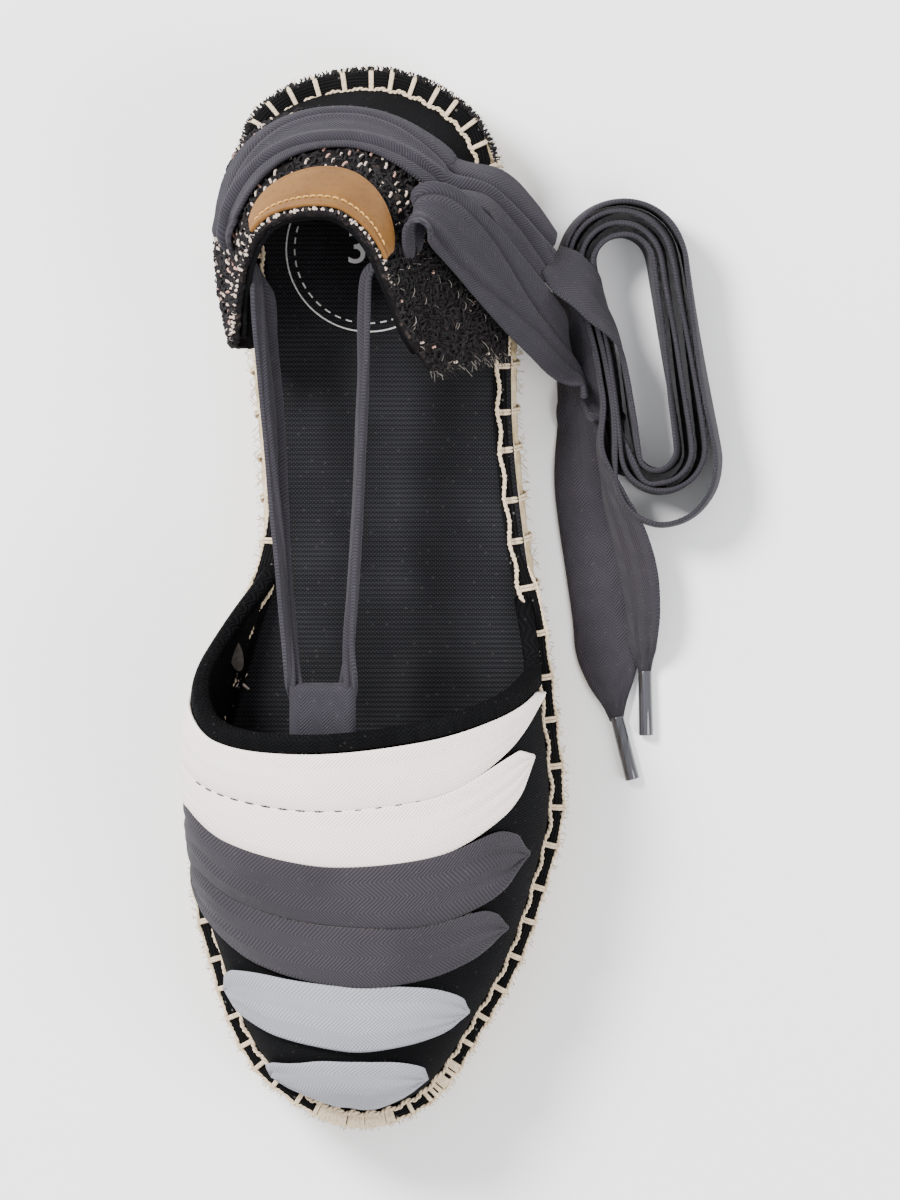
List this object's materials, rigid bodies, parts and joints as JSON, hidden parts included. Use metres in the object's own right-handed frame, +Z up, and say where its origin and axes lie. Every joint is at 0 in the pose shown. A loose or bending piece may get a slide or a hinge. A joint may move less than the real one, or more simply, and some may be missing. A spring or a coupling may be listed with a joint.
{
  "type": "espadrille",
  "caption": "Flat espadrille for the left foot with a striped ribbon vamp, soft tweed heel counter, braided jute sole and a long flat tie coiled beside it.",
  "frame": {"origin": "on the floor under the middle of the heel seat", "axes": "+Z up, -Y towards the toe, +X towards the outer side of the left foot"},
  "size_m": [0.1245, 0.2494, 0.0675],
  "materials": {
    "rubber": "matte",
    "jute": "matte",
    "black_canvas": "matte",
    "tweed": "matte",
    "leather": "satin",
    "cream_ribbon": "matte",
    "dark_ribbon": "matte",
    "light_ribbon": "matte",
    "tie_tape": "matte",
    "aglet_plastic": "gloss"
  },
  "bodies": {
    "root": {"rubber_outsole": "rubber", "jute_midsole": "jute", "insole": "black_canvas", "vamp": "black_canvas", "throat_binding": "black_canvas", "ribbon_cream_1": "cream_ribbon", "ribbon_cream_2": "cream_ribbon", "ribbon_dark_1": "dark_ribbon", "ribbon_dark_2": "dark_ribbon", "ribbon_light_1": "light_ribbon", "ribbon_light_2": "light_ribbon", "heel_counter": "black_canvas", "heel_tweed": "tweed", "heel_tab": "leather", "throat_loop": "tie_tape", "tie": "tie_tape", "tie_hank": "tie_tape", "tie_end_1": "tie_tape", "tie_end_2": "tie_tape", "aglet_1": "aglet_plastic", "aglet_2": "aglet_plastic"}
  },
  "joints": []
}
